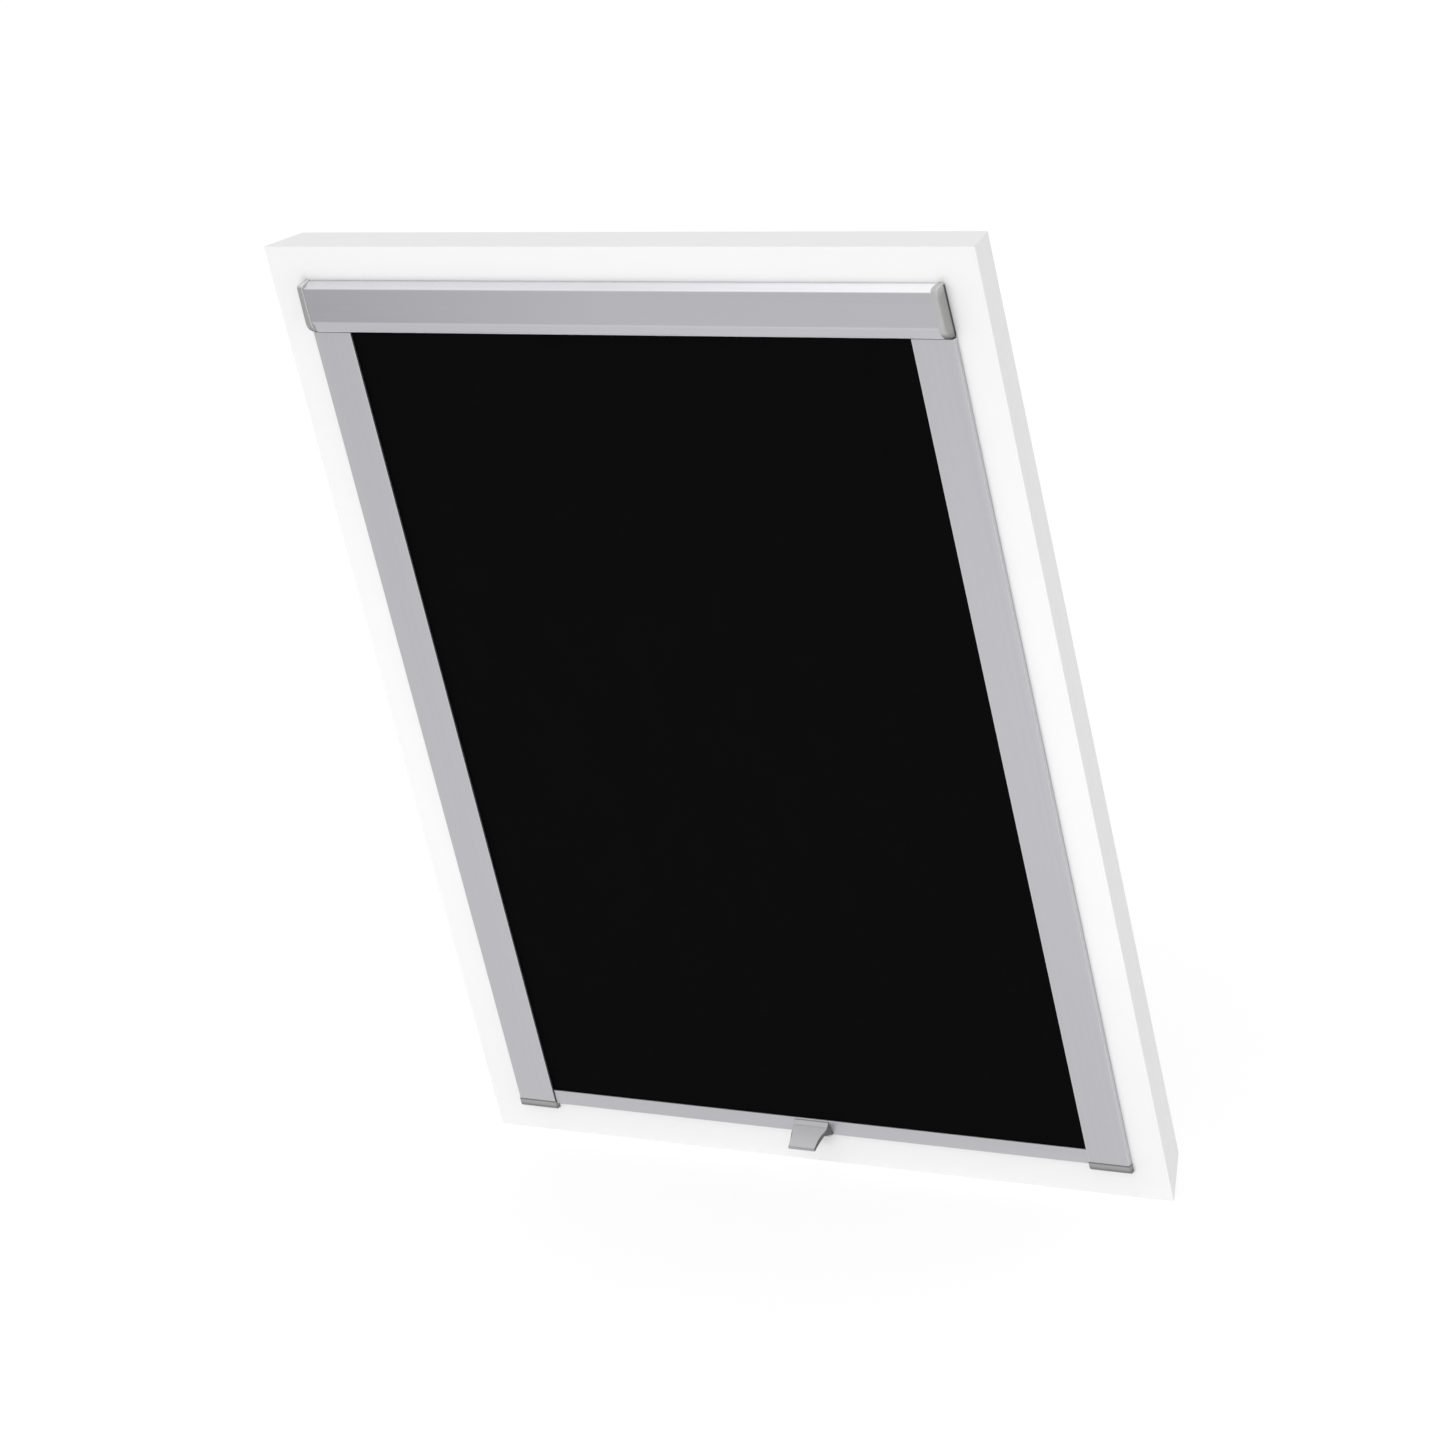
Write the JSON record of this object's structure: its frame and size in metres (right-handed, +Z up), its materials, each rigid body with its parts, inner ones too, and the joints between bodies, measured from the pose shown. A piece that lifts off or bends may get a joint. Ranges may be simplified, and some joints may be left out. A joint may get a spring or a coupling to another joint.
{
  "type": "skylight window blind",
  "caption": "Blackout roller blind for a roof window on a white frame, with a sprung roller in a top cassette, side rails, a bottom bar and a pull handle.",
  "frame": {"origin": "centre of the back face of the frame's head member", "axes": "+Z up along the blind, +X to the right as seen from the room, +Y out of the back towards the window"},
  "size_m": [0.7796, 0.0777, 0.9797],
  "materials": {
    "white_paint": "smooth white lacquer on timber",
    "silver_aluminium": "satin silver anodised",
    "raw_aluminium": "plain extruded",
    "grey_plastic": "fine matt, grey",
    "dark_plastic": "fine matt, dark grey",
    "zinc_steel": "zinc plated",
    "spring_steel": "oiled spring wire",
    "black_pile": "short woven pile",
    "felt": "dense felt",
    "blackout_cloth": "matt coated blackout cloth"
  },
  "bodies": {
    "root": {"mounting_frame": "white_paint", "cassette_back": "raw_aluminium", "cassette_cover": "silver_aluminium", "cassette_end_cap_left": "grey_plastic", "cassette_end_cap_right": "grey_plastic", "roller_bracket_left": "zinc_steel", "roller_bracket_right": "zinc_steel", "roller_bracket_left_screw_1": "zinc_steel", "roller_bracket_left_screw_2": "zinc_steel", "roller_bracket_right_screw_1": "zinc_steel", "roller_bracket_right_screw_2": "zinc_steel", "cassette_screw_1": "zinc_steel", "cassette_screw_2": "zinc_steel", "cassette_screw_3": "zinc_steel", "spring_spindle": "zinc_steel", "idle_pin": "zinc_steel", "torsion_spring": "spring_steel", "rail_base_left": "raw_aluminium", "rail_base_right": "raw_aluminium", "rail_cover_left": "silver_aluminium", "rail_cover_right": "silver_aluminium", "rail_seal_left": "black_pile", "rail_seal_right": "black_pile", "rail_end_cap_left": "dark_plastic", "rail_end_cap_right": "dark_plastic", "blackout_cloth": "blackout_cloth", "rail_screw_left_1": "zinc_steel", "rail_screw_left_2": "zinc_steel", "rail_screw_left_3": "zinc_steel", "rail_screw_right_1": "zinc_steel", "rail_screw_right_2": "zinc_steel", "rail_screw_right_3": "zinc_steel"},
    "bar": {"bottom_bar": "silver_aluminium", "hem_spline": "dark_plastic", "glider_left": "dark_plastic", "glider_right": "dark_plastic", "brake_pad_left": "felt", "brake_pad_right": "felt", "pull_handle": "grey_plastic"},
    "roller": {"roller_tube": "raw_aluminium", "cloth_roll": "blackout_cloth", "tube_plug_left": "dark_plastic", "tube_plug_right": "dark_plastic", "spring_plug": "dark_plastic"}
  },
  "joints": [
    {"name": "bar_slide", "type": "slide", "parent": "root", "child": "bar", "axis": [0, 0, 1], "range_m": [0, 0.84], "deforming": ["blackout_cloth"]},
    {"name": "roller_spin", "type": "hinge", "parent": "root", "child": "roller", "pos_m": [0, -0.039, -0.04285], "axis": [1, 0, 0], "range_deg": [-4920, 0]}
  ],
  "couplings": [
    {"joint": "roller_spin", "follows": "bar_slide", "rad_per_m": -102.04}
  ]
}
